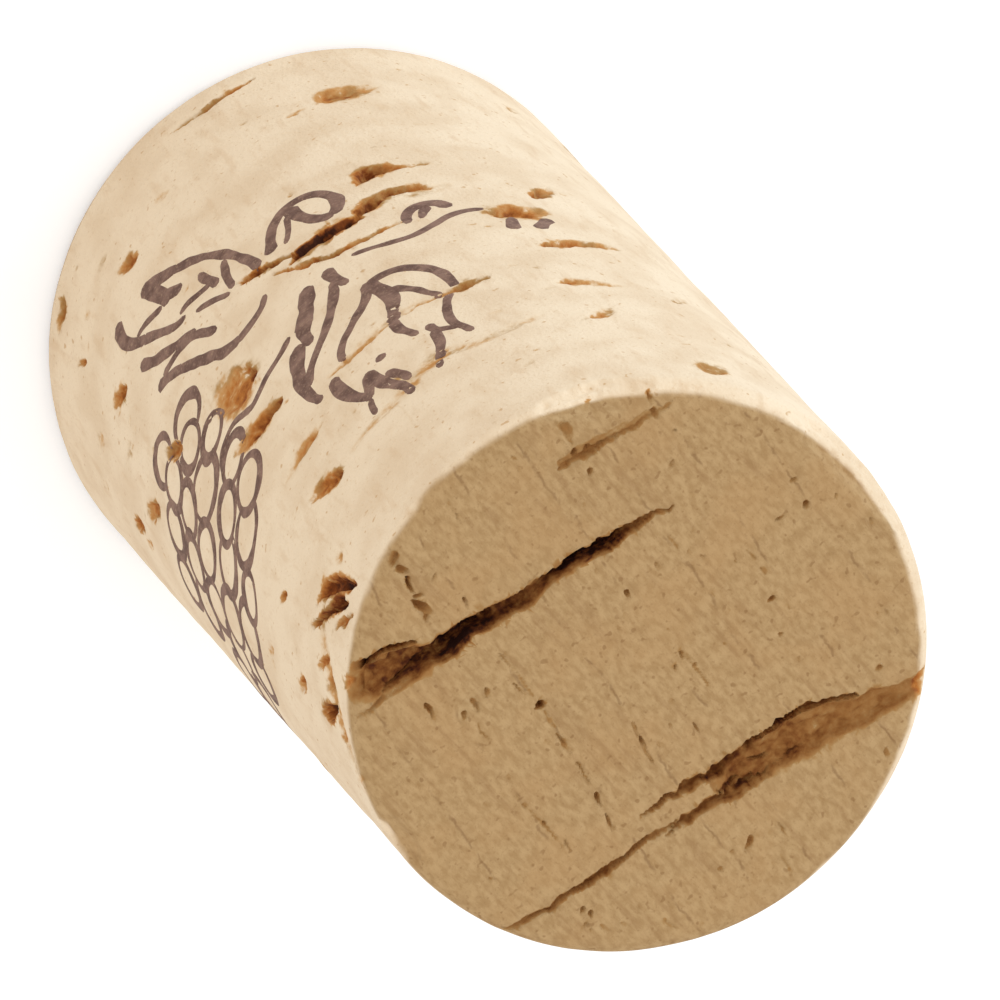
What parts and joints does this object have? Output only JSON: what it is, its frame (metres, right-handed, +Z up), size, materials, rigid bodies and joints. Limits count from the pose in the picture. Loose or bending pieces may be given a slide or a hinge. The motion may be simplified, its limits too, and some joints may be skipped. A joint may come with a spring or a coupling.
{
  "type": "cork stopper",
  "caption": "Straight natural cork stopper for a bottle neck, with open fissures and pores, softly rounded end edges and a printed grape bunch.",
  "frame": {"origin": "centre of the flat foot, on the surface that the stopper stands on", "axes": "+Z up the stopper's axis to the end with the open fissures; -Y is the front, with the print; +X is to the right of the front"},
  "size_m": [0.024, 0.024, 0.045],
  "materials": {
    "cork": "bare natural cork, matt, with darker brown pores"
  },
  "bodies": {
    "root": {"cork_stopper": "cork"}
  },
  "joints": []
}
